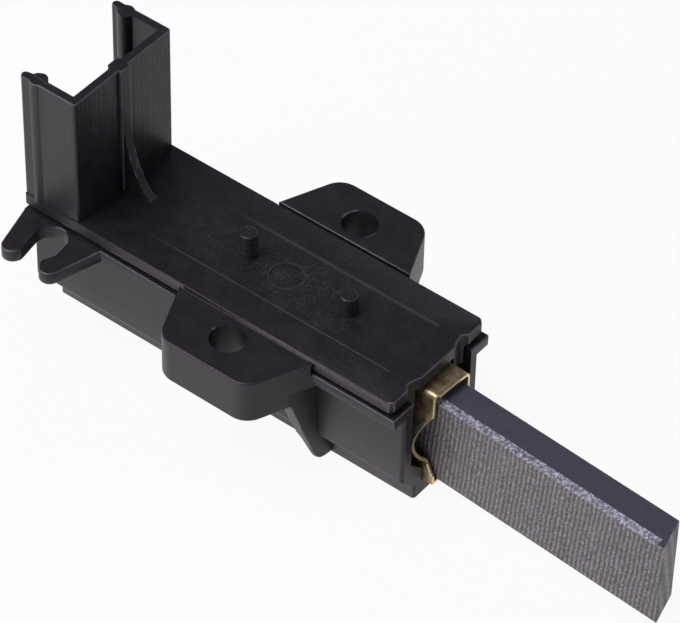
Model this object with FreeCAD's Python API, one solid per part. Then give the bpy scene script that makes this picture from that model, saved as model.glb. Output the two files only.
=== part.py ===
import FreeCAD, Part
import math
import os

# Carbon brush of a washing machine motor, in its moulded holder.
# Units are millimetres. +X runs along the holder towards the brush tip, +Y across it and +Z up.
# The origin lies in the plane of the underside, midway between the two screw holes.

V = FreeCAD.Vector

# ---- Holder body ----
rim_back = -33.25          # X where rim and cover end
rear_overhang = 1.35       # how far they stand out behind the closed rear end
body_front = 21.15         # X of the front face around the guide's mouth
foot_half = 4.45           # half the width of the underside at the front
foot_height = 2.4          # height of the upright band above the underside
wide_half = 8.6            # half the width of the body behind the ears' front end
narrow_half = 6.9          # half the width of the body in front of it
step_x = 8.0               # X where the wide part ends, inside the gussets
rim_overhang = 0.2         # how far the rim stands out over the wide part
rim_bottom = 15.0          # Z of the rim's underside
rim_top = 16.4             # Z of the rim's upper face
cover_seat = 16.9          # Z of the inner wall that carries the cover
seat_inset = 0.5           # inner wall's distance inside the cover's edge
floor_thickness = 2.0      # plastic under the guide
rear_wall = 1.5            # thickness of the closed rear end
chamber_wall = 1.6         # side wall of the rear chamber
chamber_floor = 3.4        # Z of the rear chamber's floor
chamber_floor_half = 3.6   # half the width of that floor
front_corner = 0.5         # radius of the upright front corners

# ---- Ears ----
hole_spacing = 24.0        # distance between the screw holes
hole_diameter = 4.4
ear_root_half = 9.6        # half the ear's length beside the cover
ear_tip_half = 6.3         # half the ear's length along its outer edge
ear_reach = 16.75          # Y of the outer edge
ear_thickness = 6.0
ear_corner = 2.8           # radius of the outer corners
ear_gap = 0.45             # groove between the cover's edge and the ear
edge_round = 0.25          # small rounding along the moulded top edges

# ---- Gusset under each ear ----
gusset_top = 14.5          # Z of the pocket's roof in front of the web
gusset_reach = 11.7        # Y of the web's outer edge at the top
gusset_front = 8.5         # X of the web's front face at that edge
gusset_lean = 0.125        # the face comes forward by this for each millimetre inwards
gusset_outline = [(4.2, 14.6), (11.7, 14.6), (11.25, 12.3), (10.75, 10.9), (10.0, 8.8), (9.45, 7.2), (9.1, 6.2),
                  (8.6, 4.95), (8.1, 3.6), (7.7, 2.5), (7.4, 1.75), (7.05, 1.1), (6.66, 0.7), (6.2, 0.45), (5.7, 0.36),
                  (4.2, 0.36)]
gusset_back = [(7.15, 14.6), (7.15, 9.0), (7.6, 6.0), (8.1, 3.5), (8.5, 1.2), (8.6, 0.3)]

# ---- Wire hook at the back ----
hook_thickness = 1.75
notch_centre = (rim_back + 5.8, -10.9)
notch_radius = 2.1
hook_tip_radius = 1.3
tip_a = (rim_back + 2.89, -14.2)    # centre of the rear prong's round end
tip_b = (rim_back + 8.65, -14.3)    # centre of the front prong's round end
hook_root_b = rim_back + 11.75      # X where the front prong leaves the wall

# ---- Cover ----
cover_thickness = 1.68
cover_half = 8.54
cover_front = 20.6
cover_corner = 0.5         # chamfer on the front corners
notch_outline = [(-1.0, 2.95), (0.0, 2.95), (0.38, 3.8), (0.58, 4.6), (0.62, 5.0), (0.0, 5.7), (-1.0, 5.7)]
rib_drop = 2.2             # how far the ribs under the cover reach below the guide's roof
rib_gap_far = 0.1          # between the +Y rib and the guide
rib_gap_near = 1.0         # between the -Y rib and the guide
pin_radius = 1.1
pin_rear_x = -6.8
pin_rear_height = 3.5
pin_front_x = 7.8
pin_front_height = 2.65
gate_x = -1.2              # centre of the round gate mark
gate_radius = 2.05
gate_depth = 0.15

# ---- Shroud on the cover ----
shroud_top = 36.8          # Z of the upper edge
shroud_front = rim_back + 8.15      # X of the cross wall's front face
shroud_wall = 1.1
shroud_outer = 8.45        # Y of the side walls' outer face
shroud_end = rim_back - 0.15        # X where the side walls end
bead_x = rim_back + 2.05            # centre of the round bead on each side wall
bead_y = 7.6
bead_radius = 1.12
boss_half = 0.85           # half the width of the rib in the middle of the cross wall
boss_out = 0.4             # how far the rib stands out in front
boss_back = 0.6            # how far it stands out behind
fin_half = 0.6             # half the thickness of the curved fin
fin_curve = [(0.4, 27.1), (1.0, 24.4), (1.8, 22.1), (2.8, 19.9), (4.2, 18.6)]

# ---- Carbon brush ----
brush_width = 4.4
brush_height = 12.3
brush_tip = 31.7           # how far the near side reaches beyond the pivot
brush_length = 38.5        # length of the near side
tip_setback = 1.35         # the far side is shorter by this
chamfer_across = 0.95      # chamfer on the upper near edge
chamfer_down = 0.35
chamfer_short = 1.0        # the chamfer ends this far before the tip
braid_socket = 4.0         # depth of the braid's hole

# ---- Brush guide ----
guide_turn = 3.4           # degrees that guide and brush are turned towards -Y
pivot_x = 23.0             # X of the point that they are turned about
sheet = 0.4                # thickness of the brass sheet
side_play = 0.35           # between brush and guide, each side
under_play = 0.15          # between brush and guide floor
top_play = 0.95            # between brush and guide roof
guide_mouth = -0.25        # front edge of the guide, from the pivot
guide_length = 39.25
mouth_hollow = 1.65        # how far the front edge is set back at the bulges
mouth_hollow_half = 5.0    # half the height of that hollow
mouth_hollow_drop = 0.8    # its middle lies this far below the bulges' centre line
near_corner_cut = 0.3      # the near upper corner's front edge is set back
seam_gap = 0.25            # open seam in the guide's floor
fold_radius = 0.8          # outside radius of the upper folds
bulge_blend = 0.8          # radius where a bulge runs into the flat wall
body_play = 0.45           # between guide and body at the bulges

# ---- Brush spring and shunt braid ----
spring_wire = 0.7
spring_play = 0.2          # between spring and bulge, each side
bulge_radius = 4.5         # inside radius of the guide's bulges
spring_turns = 8
end_pitch = 1.35           # pitch of the closed end coils, in wire diameters
braid_diameter = 1.6
braid_bend = 3.0           # bend radius behind the guide
braid_end = 3.0            # straight length that lies on the terminal's foot
braid_hole_play = 0.3      # around the braid in the guide's rear wall
braid_socket_play = 0.05   # around the braid in the brush

# ---- Terminal ----
tab_width = 6.3
tab_thickness = 0.8
tab_x = rim_back + 3.75    # X of the tab's middle plane
tab_top = 27.6
tab_taper = 1.0            # bevel on the tab's upper corners
slot_play = 0.2            # around the tab in the cover
foot_z = 4.6               # Z of the foot's underside
flange_top = 7.5           # Z of the flange against the guide
flange_half = 1.9          # half the flange's width

# ---- Values that follow from the ones above ----
body_back = rim_back + rear_overhang
cover_top = cover_seat + cover_thickness
guide_bottom = floor_thickness + 0.1
inner_half = brush_width / 2 + side_play
outer_half = inner_half + sheet
brush_bottom = guide_bottom + sheet + under_play
brush_top = brush_bottom + brush_height
guide_top = brush_top + top_play + sheet
spring_z = (guide_bottom + guide_top) / 2
spring_radius = bulge_radius - spring_play
guide_back = guide_mouth - guide_length
brush_back = brush_tip - brush_length
cavity_half = bulge_radius + sheet + body_play
ear_inner = cover_half + ear_gap
ear_slope = (ear_root_half - ear_tip_half) / (ear_reach - ear_inner)


def prism(points, axis, start, end):
    """Straight solid over a polygon of (a, b) points in the plane across the axis."""
    place = {"x": lambda a, b: V(start, a, b), "y": lambda a, b: V(a, start, b), "z": lambda a, b: V(a, b, start)}
    along = {"x": V(1, 0, 0), "y": V(0, 1, 0), "z": V(0, 0, 1)}
    wire = Part.makePolygon([place[axis](a, b) for a, b in points + points[:1]])
    return Part.Face(wire).extrude(along[axis] * (end - start))


def box(x0, x1, y0, y1, z0, z1):
    """Block between two corners."""
    return Part.makeBox(x1 - x0, y1 - y0, z1 - z0, V(x0, y0, z0))


def rod(x, y, z0, z1, radius):
    """Upright cylinder."""
    return Part.makeCylinder(radius, z1 - z0, V(x, y, z0))


def lengthwise_rod(x0, x1, z, radius):
    """Cylinder along X on the guide's centre line."""
    return Part.makeCylinder(radius, x1 - x0, V(x0, 0, z), V(1, 0, 0))


def mirrored(shape):
    """The same shape on the other side of the holder."""
    return shape.mirror(V(0, 0, 0), V(0, 1, 0))


def turned(shape):
    """Moves a shape from the guide's straight frame to its turned place in the holder."""
    moved = shape.copy()
    moved.translate(V(pivot_x, 0, 0))
    moved.rotate(V(pivot_x, 0, 0), V(0, 0, 1), -guide_turn)
    return moved


def rounded(shape, radius, wanted):
    """Rounds the edges whose middle point passes the test."""
    edges = [e for e in shape.Edges if wanted(e.CenterOfMass, e)]
    return shape.makeFillet(radius, edges)


def is_upright(edge):
    """True for a straight edge along Z."""
    a, b = edge.Vertexes[0].Point, edge.Vertexes[-1].Point
    return abs(a.x - b.x) < 1e-6 and abs(a.y - b.y) < 1e-6 and abs(a.z - b.z) > 1e-6


def body_section(half):
    """Outline of the body across X: narrow foot, sloping shoulder, upright wall."""
    shoulder = foot_height + half - foot_half
    right = [(foot_half, 0), (foot_half, foot_height), (half, shoulder), (half, rim_bottom)]
    return right + [(-y, z) for y, z in reversed(right)]


def far_foot():
    """Foot and shoulder on the +Y side, parallel to the turned guide so that the wall around it stays even."""
    edge = foot_half + math.tan(math.radians(guide_turn)) * (body_front - body_back)
    plan = [(body_front, 0), (body_front, foot_half), (body_back, edge), (body_back, 0)]
    foot = prism(plan, "z", 0, foot_height)
    rise = 3.0
    low, high = [Part.makePolygon([V(x, y + grow, z) for x, y in plan + plan[:1]])
                 for z, grow in ((foot_height, 0), (foot_height + rise, rise))]
    shoulder = Part.makeLoft([low, high], True, True)
    return foot.fuse(shoulder).common(box(body_back, body_front, -1, wide_half, 0, rim_bottom))


def ear():
    """One ear on the +Y side, slanted at both ends and rounded at the outer corners."""
    root = narrow_half - 0.4
    root_half = ear_root_half + ear_slope * (ear_inner - root)
    plan = [(-root_half, root), (-ear_tip_half, ear_reach), (ear_tip_half, ear_reach), (root_half, root)]
    solid = prism(plan, "z", cover_top - ear_thickness, cover_top)
    solid = rounded(solid, ear_corner, lambda c, e: is_upright(e) and c.y > ear_reach - 0.1)
    solid = rounded(solid, edge_round, lambda c, e: abs(c.z - cover_top) < 1e-6 and c.y > root + 0.1)
    groove = box(-ear_root_half - 2, ear_root_half + 2, root - 1, ear_inner, rim_top, cover_top + 1)
    return solid.cut(groove)


def gusset_face(y):
    """X of the web's front face at that distance from the middle."""
    return gusset_front + gusset_lean * (gusset_reach - y)


def gusset():
    """Thin web that carries the front end of an ear down the side wall to a rounded toe, on the +Y side."""
    reach = gusset_reach + 1
    web = prism(gusset_outline, "x", gusset_front - 2, gusset_front + 2)
    plan = [(gusset_front - 2, 0), (gusset_face(0), 0), (gusset_face(reach), reach), (gusset_front - 2, reach)]
    back = gusset_back + [(gusset_front + 2, gusset_back[-1][1]), (gusset_front + 2, gusset_back[0][1])]
    return web.common(prism(plan, "z", 0, cover_top)).common(prism(back, "y", 0, reach))


def gusset_pocket():
    """Space in front of the web, up into the ear."""
    wall, reach = narrow_half, gusset_reach + 0.1
    front = ear_root_half + 3
    plan = [(gusset_face(wall), wall), (gusset_face(reach), reach), (front, reach), (front, wall)]
    return prism(plan, "z", foot_height + narrow_half - foot_half, gusset_top)


def hook():
    """Two-pronged hook that holds a wire, at rim height on the -Y side."""
    z0, z1 = rim_top - hook_thickness, rim_top
    root = -wide_half + 0.4
    nx, ny = notch_centre
    ax, ay = tip_a
    bx, by = tip_b
    r = hook_tip_radius
    left, right = nx - notch_radius, nx + notch_radius
    prong_a = prism([(rim_back, root), (rim_back, -wide_half), (ax - r, ay - 0.2), (ax + r, ay + 0.2), (left, ny),
                     (left, root)], "z", z0, z1)
    prong_b = prism([(right, root), (right, ny), (right + 0.15, ny - 1.6), (bx - r, by + 0.15), (bx + r, by - 0.3),
                     (hook_root_b, root)], "z", z0, z1)
    bridge = prism([(left, root), (left, ny), (right, ny), (right, root)], "z", z0, z1)
    bridge = bridge.cut(rod(nx, ny, z0 - 1, z1 + 1, notch_radius))
    solid = bridge.fuse([prong_a, prong_b, rod(ax, ay, z0, z1, r), rod(bx, by, z0, z1, r)])
    return solid.removeSplitter()


def cavity():
    """Space for the guide, its bulges and the rear chamber, open upwards and at the front."""
    slope_end = outer_half + 0.35
    slope_bottom = 4.3
    slope_top = slope_bottom + cavity_half - slope_end
    right = [(slope_end - 0.1, guide_bottom - 0.05), (slope_end, slope_bottom), (cavity_half, slope_top),
             (cavity_half, cover_top)]
    outline = right + [(-y, z) for y, z in reversed(right)]
    channel = turned(prism(outline, "x", guide_back - 1.0, guide_mouth + 6))
    side = wide_half - chamber_wall
    slope = chamber_floor + side - chamber_floor_half
    right = [(chamber_floor_half, chamber_floor), (side, slope), (side, cover_top)]
    outline = right + [(-y, z) for y, z in reversed(right)]
    chamber = prism(outline, "x", body_back + rear_wall, pivot_x + guide_back - 0.5)
    return channel.fuse(chamber)


def make_holder_body():
    """Trough with rim, ears, gussets and hook, in one moulding."""
    wide = prism(body_section(wide_half), "x", body_back, step_x)
    narrow = prism(body_section(narrow_half), "x", step_x - 1, body_front)
    narrow = rounded(narrow, front_corner, lambda c, e: is_upright(e) and c.x > body_front - 0.1)
    rim_half = wide_half + rim_overhang
    rim = box(rim_back, body_front, -rim_half, rim_half, rim_bottom, rim_top)
    seat_half = cover_half - seat_inset
    seat = box(rim_back + seat_inset, cover_front - seat_inset, -seat_half, seat_half, rim_top - 1, cover_seat)
    one_side = [ear().cut(gusset_pocket()), gusset()]
    solid = wide.fuse([narrow, far_foot(), rim, seat, hook()] + one_side + [mirrored(s) for s in one_side])
    holes = [rod(0, side * hole_spacing / 2, 0, cover_top + 1, hole_diameter / 2) for side in (-1, 1)]
    return solid.cut([cavity()] + holes).removeSplitter()


def cover_plate():
    """Flat plate with chamfered front corners."""
    c = cover_corner
    plan = [(rim_back, -cover_half), (cover_front - c, -cover_half), (cover_front, -cover_half + c),
            (cover_front, cover_half - c), (cover_front - c, cover_half), (rim_back, cover_half)]
    return prism(plan, "z", cover_seat, cover_top)


def front_notch():
    """Shallow notch in the cover's front edge and in the rib below it, on the +Y side."""
    plan = [(cover_front - depth, y) for depth, y in notch_outline]
    return prism(plan, "z", guide_top - rib_drop - 1, cover_top + 1)


def guide_ribs():
    """Two ribs under the cover that reach down on both sides of the guide."""
    ribs = []
    for side, gap in ((1, rib_gap_far), (-1, rib_gap_near)):
        y0, y1 = sorted((side * (outer_half + gap), side * (cavity_half - 0.2)))
        rib = turned(box(guide_back + 0.5, 0, y0, y1, guide_top - rib_drop, cover_seat + 0.5))
        ribs.append(rib.common(box(rim_back, cover_front, -wide_half, wide_half, 0, cover_top)))
    return ribs


def shroud():
    """Three walls around the terminal, open at the back, with a bead on each side wall."""
    z0, z1 = cover_top - 0.5, shroud_top
    inner = shroud_outer - shroud_wall
    middle = (shroud_outer + inner) / 2
    side_wall = box(shroud_end + shroud_wall / 2, shroud_front, inner, shroud_outer, z0, z1)
    side_wall = side_wall.fuse([rod(shroud_end + shroud_wall / 2, middle, z0, z1, shroud_wall / 2),
                                rod(bead_x, bead_y, z0, z1, bead_radius)])
    cross = box(shroud_front - shroud_wall, shroud_front, -shroud_outer, shroud_outer, z0, z1)
    rib = box(shroud_front - shroud_wall - boss_back, shroud_front + boss_out, -boss_half, boss_half, z0, z1)
    solid = cross.fuse([side_wall, mirrored(side_wall), rib]).removeSplitter()
    corners = lambda c, e: is_upright(e) and abs(c.x - shroud_front) < 0.01 and abs(c.y) > shroud_outer - 0.01
    return rounded(solid, 0.4, corners)


def fin():
    """Curved web from the cross wall's rib down to the plate."""
    curve = Part.BSplineCurve()
    points = [(shroud_front + out, z) for out, z in fin_curve]
    curve.interpolate([V(x, -fin_half, z) for x, z in points])
    (x0, z0), (x1, z1) = points[0], points[-1]
    back = shroud_front - 0.5
    closing = Part.makePolygon([V(x1, -fin_half, z1), V(x1, -fin_half, cover_top - 0.5),
                                V(back, -fin_half, cover_top - 0.5), V(back, -fin_half, z0), V(x0, -fin_half, z0)])
    face = Part.Face(Part.Wire([curve.toShape()] + closing.Edges))
    return face.extrude(V(0, 2 * fin_half, 0))


def make_cover():
    """Cover with pins, ribs, shroud and fin, in one moulding."""
    solid = cover_plate().fuse(guide_ribs() + [shroud(), fin()])
    for x, height in ((pin_rear_x, pin_rear_height), (pin_front_x, pin_front_height)):
        pin = rod(x, 0, cover_top - 0.5, cover_top + height, pin_radius)
        solid = solid.fuse(rounded(pin, 0.2, lambda c, e: c.z > cover_top + 1))
    gate = rod(gate_x, 0, cover_top - gate_depth, cover_top + 1, gate_radius)
    slot = box(tab_x - tab_thickness / 2 - slot_play, tab_x + tab_thickness / 2 + slot_play,
               -tab_width / 2 - slot_play, tab_width / 2 + slot_play, cover_seat - 1, cover_top + 1)
    return solid.cut([gate, slot, front_notch(), mirrored(front_notch())]).removeSplitter()


def guide_profile(half, bottom, top, radius, x0, x1, fold, blend):
    """Solid of the guide's outline: an upright rectangle with a round bulge on each side."""
    block = box(x0, x1, -half, half, bottom, top)
    block = rounded(block, fold, lambda c, e: abs(c.z - top) < 1e-6 and abs(abs(c.y) - half) < 1e-6)
    solid = block.fuse(lengthwise_rod(x0, x1, spring_z, radius)).removeSplitter()
    rise = math.sqrt(radius ** 2 - half ** 2)
    meets = lambda c, e: abs(abs(c.y) - half) < 1e-4 and abs(abs(c.z - spring_z) - rise) < 1e-4
    return rounded(solid, blend, meets)


def make_brush_guide():
    """Folded brass sleeve with round bulges, a rear wall and an open seam in its floor."""
    outer = guide_profile(outer_half, guide_bottom, guide_top, bulge_radius + sheet, guide_back, guide_mouth,
                          fold_radius, bulge_blend)
    inner = guide_profile(inner_half, guide_bottom + sheet, guide_top - sheet, bulge_radius, guide_back + sheet,
                          guide_mouth + 1, fold_radius - sheet, bulge_blend + sheet)
    solid = outer.cut(inner)
    radius = (mouth_hollow_half ** 2 + mouth_hollow ** 2) / (2 * mouth_hollow)
    hollow = Part.makeCylinder(radius, 2 * cavity_half, V(guide_mouth - mouth_hollow + radius, -cavity_half,
                                                          spring_z - mouth_hollow_drop), V(0, 1, 0))
    corner = box(guide_mouth - near_corner_cut, guide_mouth + 1, -outer_half - 1, -inner_half + 0.3,
                 spring_z, guide_top + 1)
    seam = box(guide_back + sheet, guide_mouth + 1, 0.4, 0.4 + seam_gap, guide_bottom - 1, guide_bottom + sheet + 0.1)
    braid_hole = lengthwise_rod(guide_back - 1, guide_back + 1, spring_z, braid_diameter / 2 + braid_hole_play)
    return turned(solid.cut([hollow, corner, seam, braid_hole]).removeSplitter())


def make_carbon_brush():
    """Carbon bar with its bevelled tip, one chamfered edge and the braid's socket."""
    half = brush_width / 2
    plan = [(brush_back, -half), (brush_tip, -half), (brush_tip - tip_setback, half), (brush_back, half)]
    bar = prism(plan, "z", brush_bottom, brush_top)
    wedge = prism([(-half - 1, brush_top + 1), (-half - 1, brush_top - chamfer_down * 2.05),
                   (-half, brush_top - chamfer_down), (-half + chamfer_across, brush_top),
                   (-half + chamfer_across, brush_top + 1)], "x", brush_back - 1, brush_tip - chamfer_short)
    socket = lengthwise_rod(brush_back - 1, brush_back + braid_socket, spring_z, braid_diameter / 2 + braid_socket_play)
    return turned(bar.cut([wedge, socket]))


def make_brush_spring():
    """Coil spring between the guide's rear wall and the brush."""
    start = guide_back + sheet + spring_wire / 2
    length = brush_back - spring_wire / 2 - start
    middle_radius = spring_radius - spring_wire / 2
    halves = 2 * spring_turns
    close = spring_wire * end_pitch / 2
    steps = [close] * 2 + [(length - 4 * close) / (halves - 4)] * (halves - 4) + [close] * 2
    coil = []
    x, side = start, 1
    for step in steps:
        begin = V(x, 0, spring_z + side * middle_radius)
        end = V(x + step, 0, spring_z - side * middle_radius)
        axis = (end - begin).cross(V(0, side, 0))
        ring = Part.Face(Part.makePolygon([begin + V(math.cos(a), 0, math.sin(a)) * (spring_wire / 2)
                                           for a in (math.radians(60 * k) for k in range(7))]))
        coil.append(ring.revolve((begin + end) * 0.5, axis, 180))
        x, side = x + step, -side
    return turned(coil[0].fuse(coil[1:]))


def make_shunt_braid():
    """Copper braid from the brush's socket through the spring to the terminal's foot."""
    radius = braid_diameter / 2
    start = brush_back + braid_socket - 0.2
    low = foot_z + tab_thickness + radius
    bend = math.acos(1 - (spring_z - low) / (2 * braid_bend))
    x0 = guide_back - tab_thickness - 0.3
    x1 = x0 - braid_bend * math.sin(bend)
    x2 = x1 - braid_bend * math.sin(bend)
    middle = V(x1, 0, (spring_z + low) / 2)
    half = bend / 2
    upper = V(x0 - braid_bend * math.sin(half), 0, spring_z - braid_bend * (1 - math.cos(half)))
    lower = V(x2 + braid_bend * math.sin(half), 0, low + braid_bend * (1 - math.cos(half)))
    path = Part.Wire([Part.makeLine(V(start, 0, spring_z), V(x0, 0, spring_z)),
                      Part.Arc(V(x0, 0, spring_z), upper, middle).toShape(),
                      Part.Arc(middle, lower, V(x2, 0, low)).toShape(),
                      Part.makeLine(V(x2, 0, low), V(x2 - braid_end, 0, low))])
    ring = Part.Wire(Part.makeCircle(radius, V(start, 0, spring_z), V(1, 0, 0)))
    return turned(path.makePipeShell([ring], True, False))


def make_terminal_tab():
    """Push-on tab, its foot in the rear chamber and the flange against the guide."""
    half = tab_width / 2
    t = tab_taper
    x0, x1 = tab_x - tab_thickness / 2, tab_x + tab_thickness / 2
    blade = prism([(-half, foot_z), (half, foot_z), (half, tab_top - t), (half - t, tab_top), (-half + t, tab_top),
                   (-half, tab_top - t)], "x", x0, x1)
    hole = Part.makeCylinder(0.85, 4, V(tab_x - 2, 0, tab_top - 3.2), V(1, 0, 0))
    far = turned(Part.Vertex(V(guide_back - tab_thickness, 0, 0))).Point
    plan = [(x0, -half), (x0, half), (far.x, far.y + flange_half), (far.x + tab_thickness / 2, far.y - flange_half)]
    foot = prism(plan, "z", foot_z, foot_z + tab_thickness)
    flange = turned(box(guide_back - tab_thickness, guide_back, -flange_half, flange_half, foot_z, flange_top))
    return blade.cut(hole).fuse([foot, flange]).removeSplitter()


SUB_PARTS = {
    "holder_body": make_holder_body,
    "cover": make_cover,
    "brush_guide": make_brush_guide,
    "carbon_brush": make_carbon_brush,
    "brush_spring": make_brush_spring,
    "shunt_braid": make_shunt_braid,
    "terminal_tab": make_terminal_tab,
}

os.makedirs("parts", exist_ok=True)
for name, make in SUB_PARTS.items():
    shape = make()
    if len(shape.Solids) != 1:
        raise ValueError("%s has %d solids" % (name, len(shape.Solids)))
    shape = shape.Solids[0]
    shape.exportStep("parts/%s.step" % name)
    size = shape.BoundBox
    print("%-14s %5d faces  X %.2f..%.2f  Y %.2f..%.2f  Z %.2f..%.2f" % (
        name, len(shape.Faces), size.XMin, size.XMax, size.YMin, size.YMax, size.ZMin, size.ZMax))
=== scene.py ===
# %% [markdown]
# # A carbon brush in its moulded holder
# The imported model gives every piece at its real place, in metres. This file keeps those places, makes the
# visible pieces again with rounded edges and small surface detail, and gives each one its finish.

# %% Load the frame
import math
import bpy
import bmesh
from mathutils import Matrix, Vector


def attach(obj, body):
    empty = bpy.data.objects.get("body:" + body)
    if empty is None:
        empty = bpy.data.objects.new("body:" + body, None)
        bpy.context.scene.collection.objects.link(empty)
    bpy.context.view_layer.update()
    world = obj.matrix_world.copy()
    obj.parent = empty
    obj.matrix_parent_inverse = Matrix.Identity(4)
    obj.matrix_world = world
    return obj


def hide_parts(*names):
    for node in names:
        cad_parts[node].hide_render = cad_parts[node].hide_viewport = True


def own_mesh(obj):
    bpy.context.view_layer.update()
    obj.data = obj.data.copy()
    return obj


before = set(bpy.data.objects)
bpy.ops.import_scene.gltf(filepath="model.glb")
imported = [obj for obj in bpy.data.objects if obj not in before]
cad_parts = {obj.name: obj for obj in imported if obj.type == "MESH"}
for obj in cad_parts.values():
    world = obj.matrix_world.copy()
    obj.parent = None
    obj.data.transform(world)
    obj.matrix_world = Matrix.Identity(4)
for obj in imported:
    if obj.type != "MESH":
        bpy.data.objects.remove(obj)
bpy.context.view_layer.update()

MM = 0.001
scene = bpy.context.scene
print("CAD nodes:", sorted(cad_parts))

# %% [markdown]
# ## The camera
# The photograph was taken with a long lens, about 45 degrees above the holder, from the side of the brush's
# tip and of -Y. The camera is placed by its heading, its height angle and its distance from a point just
# above the origin. These numbers were solved from the straight edges of the part, which is why they aren't
# round.

# %% Camera
HEADING, HEIGHT_ANGLE, ROLL = 0.65070497, 0.78705976, 0.02461676
AIM = Vector((0, 0, 12.4 * MM))
DISTANCE, SLIDE_RIGHT, SLIDE_UP = 472.627 * MM, 5.23891 * MM, 0.81274 * MM
FOCAL_PIXELS, IMAGE_WIDTH, SENSOR_WIDTH = 4117.83, 680, 36.0


def make_camera():
    """A camera that looks back along the line from the aim point, slid a little to the right and up."""
    back = Vector((math.cos(HEIGHT_ANGLE) * math.sin(HEADING), -math.cos(HEIGHT_ANGLE) * math.cos(HEADING),
                   math.sin(HEIGHT_ANGLE)))
    level = (-back).cross(Vector((0, 0, 1))).normalized()
    steep = level.cross(-back)
    right = math.cos(ROLL) * level + math.sin(ROLL) * steep
    up = -math.sin(ROLL) * level + math.cos(ROLL) * steep
    data = bpy.data.cameras.new("camera")
    data.sensor_width = SENSOR_WIDTH
    data.lens = FOCAL_PIXELS / IMAGE_WIDTH * SENSOR_WIDTH
    data.clip_start = 0.01
    camera = bpy.data.objects.new("camera", data)
    place = AIM + back * DISTANCE + right * SLIDE_RIGHT + up * SLIDE_UP
    turn = Matrix((right, up, back)).transposed().to_4x4()
    camera.matrix_world = Matrix.Translation(place) @ turn
    scene.collection.objects.link(camera)
    return camera


scene.camera = make_camera()
scene.view_settings.view_transform = "Standard"
print("lens %.1f mm" % scene.camera.data.lens)

# %% [markdown]
# ## Nodes and colours
# Every finish below is a small node tree, and one function adds each of its nodes. Colours are written as
# the sRGB hex values one reads from a picture, and another function turns them into the linear values that
# the shader wants.


# %% Colour and node helpers
def linear(colour):
    """Linear RGBA of an sRGB hex value. A plain number is a linear grey already."""
    if not isinstance(colour, str):
        return [colour, colour, colour, 1.0]
    parts = [int(colour[i:i + 2], 16) / 255 for i in (1, 3, 5)]
    return [c / 12.92 if c <= 0.04045 else ((c + 0.055) / 1.055) ** 2.4 for c in parts] + [1.0]


def give(tree, node, settings):
    """Sets inputs, by place or name, and properties. An input takes a value, a hex colour, an output socket,
    or a node whose first output is meant."""
    for key, value in settings.items():
        name = key.replace("_", " ") if isinstance(key, str) else key
        if isinstance(name, str) and name not in node.inputs:
            setattr(node, key, value)
        elif isinstance(value, bpy.types.Node):
            tree.links.new(value.outputs[0], node.inputs[name])
        elif isinstance(value, bpy.types.NodeSocket):
            tree.links.new(value, node.inputs[name])
        else:
            node.inputs[name].default_value = linear(value) if isinstance(value, str) else value


def add(tree, kind, *inputs, stops=(), **settings):
    """Adds a node with its first inputs in order, its other settings by name, and the stops of a ramp."""
    node = tree.nodes.new("ShaderNode" + kind)
    give(tree, node, {**dict(enumerate(inputs)), **settings})
    if stops:
        elements = node.color_ramp.elements
        while len(elements) < len(stops):
            elements.new(0.5)
        for element, (position, colour) in zip(elements, stops):
            element.position = position
            element.color = linear(colour)
    return node


def new_material(name, **shader):
    """A material, its tree, its shader with constants on its own sockets, and the object's coordinates."""
    material = bpy.data.materials.new(name)
    material.use_nodes = True
    tree = material.node_tree
    bsdf = tree.nodes["Principled BSDF"]
    give(tree, bsdf, shader)
    return material, tree, bsdf, add(tree, "TexCoord").outputs["Object"]


print("a mid grey, #808080, is linear %.3f" % linear("#808080")[0])

# %% [markdown]
# ## The floor
# The holder stands on a white sheet. The camera and the reflections see the sheet as plain white, and the
# black plastic gets nearly all of its light grey from that reflection. To the light it is ordinary pale
# paper, so that it keeps the holder's shadow.

# %% Floor
FLOOR_SIZE, FLOOR_GAP, WHITE_SHARE = 3.0, 0.01 * MM, 0.94


def make_floor():
    """A large pale sheet, a hair below the holder's underside."""
    mesh = bmesh.new()
    bmesh.ops.create_grid(mesh, x_segments=1, y_segments=1, size=FLOOR_SIZE,
                          matrix=Matrix.Translation((0, 0, -FLOOR_GAP)))
    data = bpy.data.meshes.new("floor")
    mesh.to_mesh(data)
    mesh.free()
    floor = bpy.data.objects.new("floor", data)
    scene.collection.objects.link(floor)
    material, tree, bsdf = new_material("white_paper", Base_Color="#e8e8e8", Roughness=0.9, IOR=1.45)[:3]
    path = add(tree, "LightPath").outputs
    seen = add(tree, "Math", path["Is Camera Ray"], path["Is Glossy Ray"], operation="MAXIMUM")
    seen = add(tree, "Math", seen, path["Is Transmission Ray"], operation="MAXIMUM")
    share = add(tree, "Math", seen, WHITE_SHARE, operation="MULTIPLY")
    glow = add(tree, "Emission", Color="#ffffff", Strength=1.0)
    give(tree, tree.nodes["Material Output"], {"Surface": add(tree, "MixShader", share, bsdf, glow)})
    data.materials.append(material)
    print("floor:", material.name)


make_floor()

# %% [markdown]
# ## The background and the lamps
# The camera sees a white room. Everything else sees it pale near the horizon and dark higher up, as in a
# studio with a pale table. A softbox hangs overhead, and a weaker panel stands in front of the near side,
# low enough to light its walls. A small panel at the tip's end lifts the shade on the faces that look there.

# %% Background and lamps
ROOM_SHADES = [(0.05, "#f2f2f5"), (0.34, "#a2a1a8"), (0.55, "#58575f"), (1.0, "#48474f")]


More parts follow.
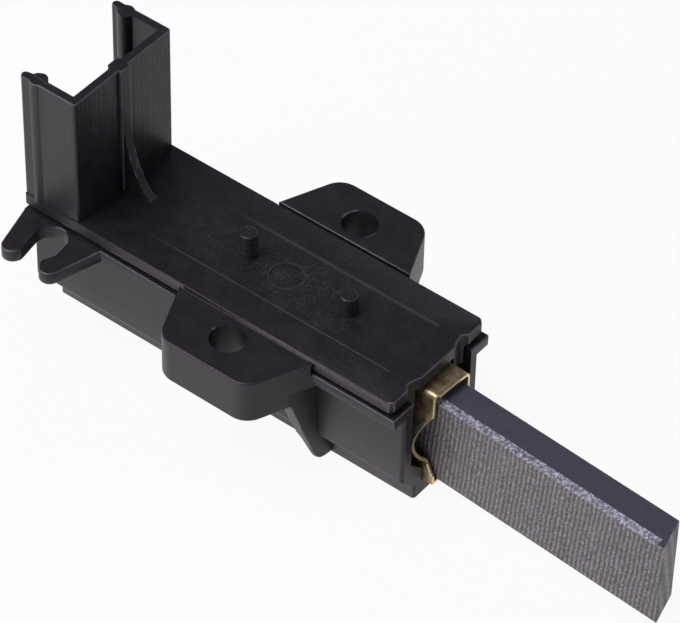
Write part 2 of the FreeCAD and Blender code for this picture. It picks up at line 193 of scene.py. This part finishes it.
def make_world():
    """White for the camera, and for everything else the room's shades by height."""
    world = bpy.data.worlds.new("studio")
    scene.world = world
    world.use_nodes = True
    tree = world.node_tree
    tree.nodes.clear()
    height = add(tree, "SeparateXYZ", add(tree, "TexCoord").outputs["Generated"]).outputs["Z"]
    shade = add(tree, "ValToRGB", height, stops=ROOM_SHADES)
    room = add(tree, "Background", Color=shade, Strength=1.0)
    white = add(tree, "Background", Color="#ffffff", Strength=1.0)
    seen = add(tree, "LightPath").outputs["Is Camera Ray"]
    add(tree, "OutputWorld", Surface=add(tree, "MixShader", seen, room, white))


def panel(name, place, aim_height, size, watts, colour):
    """A soft rectangular lamp that points at a spot above the origin."""
    data = bpy.data.lights.new(name, "AREA")
    data.shape = "RECTANGLE"
    data.size, data.size_y = size
    data.energy = watts
    data.color = linear(colour)[:3]
    lamp = bpy.data.objects.new(name, data)
    lamp.location = place
    ray = Vector((0, 0, aim_height)) - Vector(place)
    lamp.rotation_euler = ray.to_track_quat("-Z", "Y").to_euler()
    scene.collection.objects.link(lamp)


make_world()
panel("overhead_softbox", (-0.2, -0.32, 0.75), aim_height=0.01, size=(0.5, 0.45), watts=5.0,
      colour="#f7f4ff")
panel("front_panel", (-0.35, -0.95, 0.3), aim_height=0.01, size=(0.6, 0.35), watts=3.0, colour="#fff6fb")
panel("right_panel", (0.7, 0.3, 0.55), aim_height=0.02, size=(0.4, 0.4), watts=0.9, colour="#f4f4ff")

# %% [markdown]
# ## Flecks, painted shade and painted floor light on the plastic
# Body and cover are moulded in black polyamide with glass fibre. Tiny pale flecks show where fibres come
# to the surface, most of them around the middle, where the part is rubbed. The faces at the tip's end get
# less gloss as painted shade, and the walls are painted paler towards the foot as light from the floor.
# Each of these is a mask from where a face is and which way it looks, so it stays put when the camera moves.

# %% Masks for flecks, painted shade and painted floor light
RUBBED_SCALE = (60, 165, 0)      # one over the half length and half width of the rubbed patch, in metres
RUBBED_SHIFT = (0.05, 0.02, 0)   # puts its middle 0.8 mm behind the origin, a little to the near side
# up to this height the walls are painted paler, as light from the floor
PAINTED_FLOOR_LIGHT_TOP = 10 * MM
# the lower gloss of faces that look along +X is painted shade
GLOSS, PAINTED_SHADE_GLOSS = 0.5, 0.26


def per_mm(size):
    """Texture scale for a feature of that size in millimetres."""
    return 1.0 / (size * MM)


def painted_shade_on_front(tree, bsdf):
    """Lowers the gloss of faces that look along +X, as painted shade on that end of the part, and returns
    their mask.
    """
    facing = add(tree, "SeparateXYZ", add(tree, "NewGeometry").outputs["True Normal"]).outputs["X"]
    front = add(tree, "MapRange", facing, From_Min=0.3, From_Max=0.9)
    give(tree, bsdf, {"Specular IOR Level": add(tree, "MapRange", front, To_Min=GLOSS, To_Max=PAINTED_SHADE_GLOSS)})
    return front


def painted_floor_light(tree, place, front):
    """Mask of painted light from the floor, strongest at the foot, on all faces but those that look along
    +X.
    """
    height = add(tree, "SeparateXYZ", place).outputs["Z"]
    painted_floor_light_mask = add(tree, "MapRange", height, From_Max=PAINTED_FLOOR_LIGHT_TOP, To_Min=0.75, To_Max=0.0)
    others = add(tree, "Math", 1.0, front, operation="SUBTRACT")
    return add(tree, "Math", painted_floor_light_mask, others, operation="MULTIPLY")


def fibre_flecks(tree, place, mottle, strength):
    """Mask of the fibre flecks: specks in patches, thickest on the rubbed middle of the part."""
    fibre = add(tree, "TexNoise", place, Scale=per_mm(0.26), Detail=3.0, Roughness=0.75)
    specks = add(tree, "ValToRGB", fibre, stops=[(0.5, 0.0), (0.78, 1.0)])
    patches = add(tree, "ValToRGB", mottle, stops=[(0.4, 0.3), (0.6, 1.0)])
    specks = add(tree, "Math", specks, patches, operation="MULTIPLY")
    middle = add(tree, "Mapping", place, Location=RUBBED_SHIFT, Scale=RUBBED_SCALE)
    away = add(tree, "VectorMath", middle, operation="LENGTH").outputs["Value"]
    rubbed = add(tree, "MapRange", away, From_Min=0.2, To_Min=1.0, To_Max=0.12)
    rubbed = add(tree, "Math", rubbed, strength, operation="MULTIPLY")
    return add(tree, "Math", specks, rubbed, operation="MULTIPLY")


print("the rubbed patch reaches %.1f by %.1f mm" % tuple(1 / (scale * MM) for scale in RUBBED_SCALE[:2]))

# %% [markdown]
# ## Black glass-filled polyamide
# The moulded skin is satin and faintly mottled, with fine scuffs from handling, and tall walls show lines
# where they slid out of the mould. Noise in the object's own coordinates makes all of it, because it needs
# no picture and runs on round every corner. Rounded edges get it in paler tones: wear and painted highlight.


# %% Polyamide
def scuffed_tone(tree, place, mottle, tone):
    """Mottled colour between two tones, with fine pale scuffs that run one way."""
    across = add(tree, "Mapping", place, Rotation=(0.3, 0.5, 0.9), Scale=(1.0, 0.06, 0.06))
    scuff = add(tree, "TexNoise", across, Scale=per_mm(0.3), Detail=2.0)
    scuffs = add(tree, "ValToRGB", scuff, stops=[(0.70, 0.0), (0.74, 0.35)])
    mottled = add(tree, "ValToRGB", mottle, stops=[(0.3, tone[0]), (0.7, tone[1])])
    return add(tree, "MixRGB", scuffs, mottled, "#3a383d")


def moulded_skin(tree, place, draw_lines):
    """Fine grain, and over it the lines that the mould drew along Z."""
    grain = add(tree, "TexNoise", place, Scale=per_mm(0.22), Detail=3.0, Roughness=0.6)
    skin = add(tree, "Bump", Strength=0.8, Distance=0.035 * MM, Height=grain)
    stretch = add(tree, "Mapping", place, Scale=(1.0, 1.0, 0.02))
    lines = add(tree, "TexNoise", stretch, Scale=per_mm(0.45), Detail=4.0)
    return add(tree, "Bump", Strength=draw_lines, Distance=0.05 * MM, Height=lines, Normal=skin)


def polyamide(name, tone, flecks, draw_lines):
    """Satin black moulding, with its scuffs, flecks, painted shade and painted floor light."""
    material, tree, bsdf, place = new_material(name, IOR=1.5, Specular_Tint="#fff4fb")
    mottle = add(tree, "TexNoise", place, Scale=per_mm(2.4), Detail=5.0, Roughness=0.65)
    painted_floor_light_mask = painted_floor_light(tree, place, painted_shade_on_front(tree, bsdf))
    # 4b484d is painted light from the floor, paler towards the foot
    grey = add(tree, "MixRGB", painted_floor_light_mask, scuffed_tone(tree, place, mottle, tone), "#4b484d")
    colour = add(tree, "MixRGB", fibre_flecks(tree, place, mottle, flecks), grey, "#69666e")
    rough = add(tree, "MapRange", mottle, To_Min=0.34, To_Max=0.5)
    give(tree, bsdf, {"Base Color": colour, "Roughness": rough,
                      "Normal": moulded_skin(tree, place, draw_lines)})
    return material, tree, bsdf, place


edge_wear_and_highlight_plastic = polyamide("black_polyamide_edge_wear_and_highlight", ("#323035", "#5a575e"), 0.4, 0.2)[0]
body_plastic = polyamide("black_polyamide_body", ("#161418", "#201e23"), 0.6, 0.25)[0]
cover_plastic, cover_tree, cover_bsdf, cover_place = polyamide(
    "black_polyamide_cover", ("#121115", "#1c1a1f"), 0.7, 0.8)
print("plastics:", edge_wear_and_highlight_plastic.name, body_plastic.name, cover_plastic.name)

# %% [markdown]
# ## Marks on the cover's top
# The cover has two faint lines along its top, above the ribs on its underside, where the plastic sank a
# little as it cooled, and a rim round the gate mark. They are too shallow for the mesh, so masks in
# the cover's material press them in and paint a highlight on them.

# %% Sink lines and gate rim
COVER_TOP, SKIN = 18.58 * MM, 0.05 * MM
LINE_FADES_IN = 9
GATE_X, GATE_RIM_RADIUS, GATE_RIM_WIDTH = -1.2 * MM, 2.08 * MM, 0.16 * MM


def sink_line(tree, place, across, width, start, end):
    """Mask of a soft line along X on the cover's top; sizes in millimetres."""
    x, y, z = add(tree, "SeparateXYZ", place).outputs
    off = add(tree, "Math", y, across * MM, operation="SUBTRACT")
    off = add(tree, "Math", off, operation="ABSOLUTE")
    line = add(tree, "MapRange", off, From_Max=width * MM, To_Min=1.0, To_Max=0.0)
    begin = add(tree, "MapRange", x, From_Min=start * MM, From_Max=(start + LINE_FADES_IN) * MM)
    stop = add(tree, "Math", x, end * MM, operation="LESS_THAN")
    top = add(tree, "Math", z, COVER_TOP - SKIN, operation="GREATER_THAN")
    for limit in (begin, stop, top):
        line = add(tree, "Math", line, limit, operation="MULTIPLY")
    return line


def gate_rim(tree, place):
    """Mask of the rim round the gate mark, which is pressed in and painted pale as a highlight."""
    centred = add(tree, "Mapping", place, Location=(-GATE_X, 0, -COVER_TOP))
    away = add(tree, "VectorMath", centred, operation="LENGTH").outputs["Value"]
    off = add(tree, "Math", away, GATE_RIM_RADIUS, operation="SUBTRACT")
    off = add(tree, "Math", off, operation="ABSOLUTE")
    return add(tree, "MapRange", off, From_Max=GATE_RIM_WIDTH, To_Min=0.8, To_Max=0.0)


def mark_cover(tree, bsdf, place):
    """Paints a highlight on the two sink lines and the gate's rim, and presses them in a little."""
    near = sink_line(tree, place, across=-4.62, width=0.13, start=-20.0, end=17.1)
    far = sink_line(tree, place, across=4.6, width=0.34, start=-14.0, end=17.1)
    marks = add(tree, "Math", near, far, operation="MAXIMUM")
    marks = add(tree, "Math", marks, gate_rim(tree, place), operation="MAXIMUM")
    colour, skin = [bsdf.inputs[key].links[0].from_socket for key in ("Base Color", "Normal")]
    share = add(tree, "Math", marks, 0.55, operation="MULTIPLY")
    # 4a474f is a painted highlight on the sink lines and the gate's rim
    painted_highlight_colour = add(tree, "MixRGB", share, colour, "#4a474f")
    pressed = add(tree, "Bump", Strength=0.5, Distance=0.05 * MM, invert=True, Height=marks, Normal=skin)
    give(tree, bsdf, {"Base Color": painted_highlight_colour, "Normal": pressed})


mark_cover(cover_tree, cover_bsdf, cover_place)
print("cover:", len(cover_tree.nodes), "nodes with its marks")

# %% [markdown]
# ## Aged sheet brass
# The guide is folded from rolled brass sheet that has gone brown-gold with age, in cloudy patches, so a
# large soft noise moves its colour and its roughness together. The faces that look along X, the cut edge
# at the mouth, are painted paler as a highlight. The tab is a newer and brighter strip.


# %% Brass
def brass(name, dark, light, edge, roughness):
    """Rolled brass with blotches of tarnish, and a painted highlight on the cut edges that look along +X."""
    material, tree, bsdf, place = new_material(name, Metallic=0.9)
    blotch = add(tree, "TexNoise", place, Scale=per_mm(1.6), Detail=6.0, Roughness=0.62)
    rolled = add(tree, "ValToRGB", blotch, stops=[(0.35, dark), (0.65, light)])
    facing = add(tree, "SeparateXYZ", add(tree, "NewGeometry").outputs["True Normal"]).outputs["X"]
    # faces that look along +X get the paler edge colour, a painted highlight
    cut = add(tree, "MapRange", facing, From_Min=0.35, From_Max=0.6)
    rough = add(tree, "MapRange", blotch, To_Min=roughness - 0.08, To_Max=roughness + 0.14)
    fine = add(tree, "TexNoise", place, Scale=per_mm(0.15), Detail=3.0)
    give(tree, bsdf, {"Base Color": add(tree, "MixRGB", cut, rolled, edge), "Roughness": rough,
                      "Normal": add(tree, "Bump", Strength=0.25, Distance=0.01 * MM, Height=fine)})
    return material


guide_brass = brass("aged_brass_sheet", "#a58d66", "#e8d6b2", "#dcc79c", 0.34)
tab_brass = brass("bright_brass_strip", "#a98f5a", "#d8c08a", "#e6d6a8", 0.3)
print("brass:", guide_brass.name, tab_brass.name)

# %% [markdown]
# ## Carbon
# The bar is sawn from pressed carbon and graphite. Its broad sides show saw marks 0.6 millimetres apart
# that run nearly upright, with pale grit between them. The top is smoother, painted darker and bluer as
# shade, and the chamfer along its near edge is speckled and painted bright as a highlight. A wave texture
# gives the saw marks and noise the grit; one material holds all three, told apart by which way a face looks.

# %% Carbon
SAW_PITCH, SAW_LEAN = 0.6, math.radians(5)
GUIDE_TURN = math.radians(3.4)   # guide and bar stand turned by this in the holder
WAVE_LENGTH = 0.314              # the wave texture repeats after this length at scale 1
TOP_UP, CHAMFER_UP = 0.97, 0.8   # least upward part of the normals of the top and of the chamfer
MARKS_SHARE = 0.13


def saw_marks(tree, place):
    """Uneven bands across the bar's sides, a little off upright."""
    turned = add(tree, "Mapping", place, Rotation=(0, -SAW_LEAN, GUIDE_TURN))
    return add(tree, "TexWave", turned, Scale=WAVE_LENGTH * per_mm(SAW_PITCH), Distortion=2.2, Detail=3.0,
               Detail_Scale=0.6, Detail_Roughness=0.65).outputs["Fac"]


def carbon(name):
    """Sawn carbon graphite; painted shade on the top and a painted highlight on the chamfer, picked by which
    way a face looks.
    """
    material, tree, bsdf, place = new_material(name, IOR=1.7)
    marks = saw_marks(tree, place)
    grit = add(tree, "TexNoise", place, Scale=per_mm(0.24), Detail=4.0, Roughness=0.75)
    crumb = add(tree, "TexNoise", place, Scale=per_mm(0.34), Detail=3.0, Roughness=0.7)
    cloud = add(tree, "TexNoise", place, Scale=per_mm(3.0), Detail=3.0)
    mixed = add(tree, "Math", add(tree, "Math", marks, MARKS_SHARE, operation="MULTIPLY"),
                add(tree, "Math", grit, 1 - MARKS_SHARE, operation="MULTIPLY"), operation="ADD")
    side = add(tree, "ValToRGB", mixed, stops=[(0.36, "#1c191a"), (0.49, "#474345"), (0.62, "#8a8587")])
    # the top's darker, bluer tones are painted shade
    top = add(tree, "ValToRGB", grit, stops=[(0.3, "#302f37"), (0.7, "#44434e")])
    # the chamfer's bright tones are a painted highlight, with speckles
    painted_highlight_chamfer_tone = add(tree, "ValToRGB", crumb, stops=[(0.38, "#45434b"), (0.5, "#777580"), (0.62, "#b9b7c2")])
    up = add(tree, "SeparateXYZ", add(tree, "NewGeometry").outputs["True Normal"]).outputs["Z"]
    on_top = add(tree, "Math", up, TOP_UP, operation="GREATER_THAN")
    painted_highlight_chamfer_mask = add(tree, "Math", add(tree, "Math", up, CHAMFER_UP, operation="GREATER_THAN"),
                     add(tree, "Math", up, TOP_UP, operation="LESS_THAN"), operation="MULTIPLY")
    colour = add(tree, "MixRGB", painted_highlight_chamfer_mask, add(tree, "MixRGB", on_top, side, top), painted_highlight_chamfer_tone)
    off_top = add(tree, "Math", 1.0, on_top, operation="SUBTRACT")
    depth = add(tree, "Math", marks, off_top, operation="MULTIPLY")
    sawn = add(tree, "Bump", Strength=0.5, Distance=0.05 * MM, Height=depth)
    gritty = add(tree, "Bump", Strength=0.5, Distance=0.03 * MM, Height=grit, Normal=sawn)
    rough = add(tree, "MapRange", cloud, To_Min=0.42, To_Max=0.66)
    give(tree, bsdf, {"Base Color": colour, "Roughness": rough, "Normal": gritty})
    # the bar's end, which looks along +X, gets the same painted shade
    painted_shade_on_front(tree, bsdf)
    return material


brush_carbon = carbon("sawn_carbon_graphite")
print("carbon:", brush_carbon.name, "with saw marks every %.1f mm" % SAW_PITCH)

# %% [markdown]
# ## Spring wire and copper braid
# Both are hidden inside the holder. The wire is drawn steel with fine marks on it, and the braid is bare
# copper that has gone a little brown. One noise gives each of them both its tone and its relief, because
# drawn metal is darker where it is deeper.


# %% Spring wire and braid
def drawn_metal(name, dark, light, roughness, mark_size):
    """Drawn wire with marks of that size in millimetres."""
    material, tree, bsdf, place = new_material(name, Metallic=1.0, Roughness=roughness)
    marks = add(tree, "TexNoise", place, Scale=per_mm(mark_size), Detail=4.0)
    give(tree, bsdf, {"Base Color": add(tree, "ValToRGB", marks, stops=[(0.35, dark), (0.65, light)]),
                      "Normal": add(tree, "Bump", Strength=0.4, Distance=0.04 * MM, Height=marks)})
    return material


spring_steel = drawn_metal("drawn_spring_steel", "#6f7276", "#9a9da0", roughness=0.3, mark_size=0.5)
copper_strand = drawn_metal("bare_copper_braid", "#7c4a2c", "#c07a4e", roughness=0.42, mark_size=0.25)
print("wires:", spring_steel.name, copper_strand.name)

# %% [markdown]
# ## Room for a rounded edge
# Real mouldings and folded sheet never have a perfectly sharp edge, and a thin line of light on each edge
# is what makes them look solid. A bevel wider than a face beside it would fold over, so each edge is
# measured first: how wide are the faces on both sides, and how far do the edges at its ends run away?

# %% Measuring the room beside an edge
FACE_SHARE, EDGE_SHARE = 0.4, 0.45   # most that a rounding may take of a face, and of an edge at its end
NOTHING_ACROSS = 1.0                 # width in metres of a face that has no edge across


def room_beside(edge, face):
    """Smallest width of the face across from an edge, measured at three places along it."""
    start, end = [v.co for v in edge.verts]
    along = (end - start).normalized()
    for loop in face.loops:
        if loop.edge == edge:
            along = (loop.link_loop_next.vert.co - loop.vert.co).normalized()
    inward = face.normal.cross(along)
    widths = [NOTHING_ACROSS]
    for share in (0.1, 0.5, 0.9):
        here = start.lerp(end, share)
        for other in face.edges:
            (a, b), (c, d) = [((v.co - here).dot(along), (v.co - here).dot(inward)) for v in other.verts]
            if other != edge and a * c < 0:
                widths.append(max(b + (d - b) * a / (a - c), 0))
    return min(widths)


def free_width(edge, sharp):
    """Widest rounding that an edge can take without crossing its faces or running far along an edge."""
    widths = [FACE_SHARE * room_beside(edge, face) for face in edge.link_faces]
    for vert in edge.verts:
        along = (edge.other_vert(vert).co - vert.co).normalized()
        for other in vert.link_edges:
            way = other.other_vert(vert).co - vert.co
            if other != edge and (other not in sharp or along.dot(way) > 0):
                widths.append(EDGE_SHARE * along.cross(way).length)
    return min(widths)


print("a rounding takes at most %.0f %% of a face" % (100 * FACE_SHARE))

# %% [markdown]
# ## Pieces with rounded edges
# The exact place and outline come from the frame, so each piece starts as a merged copy of its node, with
# its flat faces joined. A Bevel modifier then rounds its outer edges, but not where there is little room,
# and gives the rounded edges of the two mouldings their paler finish, which is wear and a painted
# highlight. Weighted normals keep the flat faces flat.

# %% Rounded copies
MERGE, FLAT, OUTER, ROOM_NEEDED = 0.002 * MM, math.radians(0.6), math.radians(32), 0.6


def finish_piece(piece, body, node):
    """Links a piece into the scene, gives it its body and hides the node that it stands for."""
    scene.collection.objects.link(piece)
    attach(piece, body)
    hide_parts(node)
    print(piece.name, len(piece.data.polygons), "faces before modifiers")
    return piece


def mark_edges(mesh, radius, crease):
    """Picks the outer edges that have room for the radius, and the edges where the shading breaks."""
    weight = mesh.edges.layers.float.new("bevel_weight_edge")
    sharp = {edge for edge in mesh.edges if edge.calc_face_angle_signed(0) > OUTER}
    for edge in mesh.edges:
        rounded = edge in sharp and free_width(edge, sharp) > ROOM_NEEDED * radius * MM
        edge[weight] = float(rounded)
        edge.smooth = rounded or edge.calc_face_angle(0) < math.radians(crease)


def rounded_copy(node, name, body, finishes, radius, crease=32):
    """A piece with the node's shape and outer edges rounded where there is room. Its finishes are the
    material of its faces and, where given, that of its rounded edges."""
    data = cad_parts[node].data.copy()
    data.name = name
    mesh = bmesh.new()
    mesh.from_mesh(data)
    bmesh.ops.remove_doubles(mesh, verts=mesh.verts[:], dist=MERGE)
    bmesh.ops.dissolve_limit(mesh, angle_limit=FLAT, verts=mesh.verts[:], edges=mesh.edges[:])
    mesh.normal_update()
    for face in mesh.faces:
        face.smooth = True
    mark_edges(mesh, radius, crease)
    mesh.to_mesh(data)
    mesh.free()
    data.materials.clear()
    for material in finishes:
        data.materials.append(material)
    piece = bpy.data.objects.new(name, data)
    bevel = piece.modifiers.new("rounded_edges", "BEVEL")
    bevel.width = radius * MM
    bevel.segments = 2
    bevel.limit_method = "WEIGHT"
    bevel.use_clamp_overlap = False
    bevel.loop_slide = False
    bevel.material = len(finishes) - 1
    even = piece.modifiers.new("even_shading", "WEIGHTED_NORMAL")
    even.weight = 100
    even.keep_sharp = True
    return finish_piece(piece, body, node)


# the paler edge finish is wear and a painted highlight
rounded_copy("holder_body", "moulded_body", "holder", [body_plastic, edge_wear_and_highlight_plastic], 0.16)
rounded_copy("cover", "moulded_cover", "holder", [cover_plastic, edge_wear_and_highlight_plastic], 0.14)
rounded_copy("brush_guide", "folded_guide", "holder", [guide_brass], 0.1)
rounded_copy("carbon_brush", "carbon_bar", "brush", [brush_carbon], 0.07, crease=12)
rounded_copy("terminal_tab", "push_on_tab", "holder", [tab_brass], 0.08)

# %% [markdown]
# ## The coil spring
# A real spring is one wire wound round a mandrel, with its last turns wound close. The spin operator does
# the same: a small ring of wire is turned about the guide's axis and moved along it at each step, close at
# both ends and open in between. It presses the bar forwards.
# All sizes along the guide are counted from the point round which it stands turned in the holder.

# %% Spring
PIVOT_X, AXIS_Z = 23.0 * MM, 9.2 * MM
guide_place = Matrix.Translation((PIVOT_X, 0, 0)) @ Matrix.Rotation(-GUIDE_TURN, 4, "Z")
WIRE, COIL_RADIUS, SPRING_BACK, SPRING_FRONT = 0.7 * MM, 3.95 * MM, -38.75 * MM, -7.15 * MM
END_TURN, OPEN_TURNS, STEPS = 0.945 * MM, 6, 24


def wound(mesh, ring, turns, advance):
    """Winds a ring of wire about the guide's axis and returns the last ring."""
    return bmesh.ops.spin(mesh, geom=ring, cent=(0, 0, AXIS_Z), axis=(1, 0, 0),
                          dvec=(advance / STEPS, 0, 0), angle=2 * math.pi * turns, steps=STEPS * turns,
                          use_duplicate=False)["geom_last"]


def make_spring():
    """Coil of round wire in the guide's straight frame, then moved to its turned place."""
    mesh = bmesh.new()
    bmesh.ops.create_circle(mesh, cap_ends=True, radius=WIRE / 2, segments=10,
                            matrix=Matrix.Translation((SPRING_BACK, 0, AXIS_Z + COIL_RADIUS)))
    part = mesh.verts[:] + mesh.edges[:] + mesh.faces[:]
    open_turn = (SPRING_FRONT - SPRING_BACK - 2 * END_TURN) / OPEN_TURNS
    for turns, advance in ((1, END_TURN), (OPEN_TURNS, open_turn), (1, END_TURN)):
        part = wound(mesh, part, turns, advance)
    bmesh.ops.remove_doubles(mesh, verts=mesh.verts[:], dist=0.001 * MM)
    bmesh.ops.recalc_face_normals(mesh, faces=mesh.faces[:])
    bmesh.ops.transform(mesh, matrix=guide_place, verts=mesh.verts[:])
    for face in mesh.faces:
        face.smooth = len(face.verts) < 6
    data = bpy.data.meshes.new("coil_spring")
    mesh.to_mesh(data)
    mesh.free()
    data.materials.append(spring_steel)
    return finish_piece(bpy.data.objects.new("coil_spring", data), "holder", "brush_spring")


spring = make_spring()
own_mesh(spring)

# %% [markdown]
# ## The copper braid
# The braid carries the current from the bar, through the middle of the spring, to the terminal's foot
# behind the guide. It is drawn as a twisted bundle of strands: seven rings are turned about the bundle's
# own axis and moved along it, which is one spin for all of them. The part behind the guide then drops to
# the foot in a soft S.

# %% Braid
STRAND, BUNDLE, LAY = 0.27 * MM, 0.53 * MM, 6.0 * MM
BRAID_FRONT, BRAID_BACK = -3.0 * MM, -48.6 * MM
DROP_FROM, DROP_TO, DROP = -40.6 * MM, -45.8 * MM, 3.0 * MM
OUTER_STRANDS, STEPS_PER_TURN = 6, 14


def make_braid():
    """Twisted strands in the guide's straight frame, bent behind the guide and moved to their place."""
    mesh = bmesh.new()
    facing_x = Matrix.Rotation(math.pi / 2, 4, "Y")
    places = [Matrix.Rotation(k * 2 * math.pi / OUTER_STRANDS, 4, "X") @ Matrix.Translation((0, 0, BUNDLE))
              for k in range(OUTER_STRANDS)]
    for place in places + [Matrix.Identity(4)]:
        bmesh.ops.create_circle(mesh, cap_ends=True, radius=STRAND, segments=8,
                                matrix=Matrix.Translation((BRAID_FRONT, 0, 0)) @ place @ facing_x)
    turns = (BRAID_FRONT - BRAID_BACK) / LAY
    steps = int(turns * STEPS_PER_TURN)
    bmesh.ops.spin(mesh, geom=mesh.verts[:] + mesh.edges[:] + mesh.faces[:], cent=(0, 0, 0), axis=(1, 0, 0),
                   dvec=((BRAID_BACK - BRAID_FRONT) / steps, 0, 0), angle=2 * math.pi * turns, steps=steps,
                   use_duplicate=False)
    for vert in mesh.verts:
        share = min(max((DROP_FROM - vert.co.x) / (DROP_FROM - DROP_TO), 0), 1)
        vert.co.z += AXIS_Z - DROP * share * share * (3 - 2 * share)
    bmesh.ops.recalc_face_normals(mesh, faces=mesh.faces[:])
    bmesh.ops.transform(mesh, matrix=guide_place, verts=mesh.verts[:])
    for face in mesh.faces:
        face.smooth = len(face.verts) == 4
    data = bpy.data.meshes.new("copper_braid")
    mesh.to_mesh(data)
    mesh.free()
    data.materials.append(copper_strand)
    return finish_piece(bpy.data.objects.new("copper_braid", data), "holder", "shunt_braid")


braid = make_braid()
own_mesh(braid)
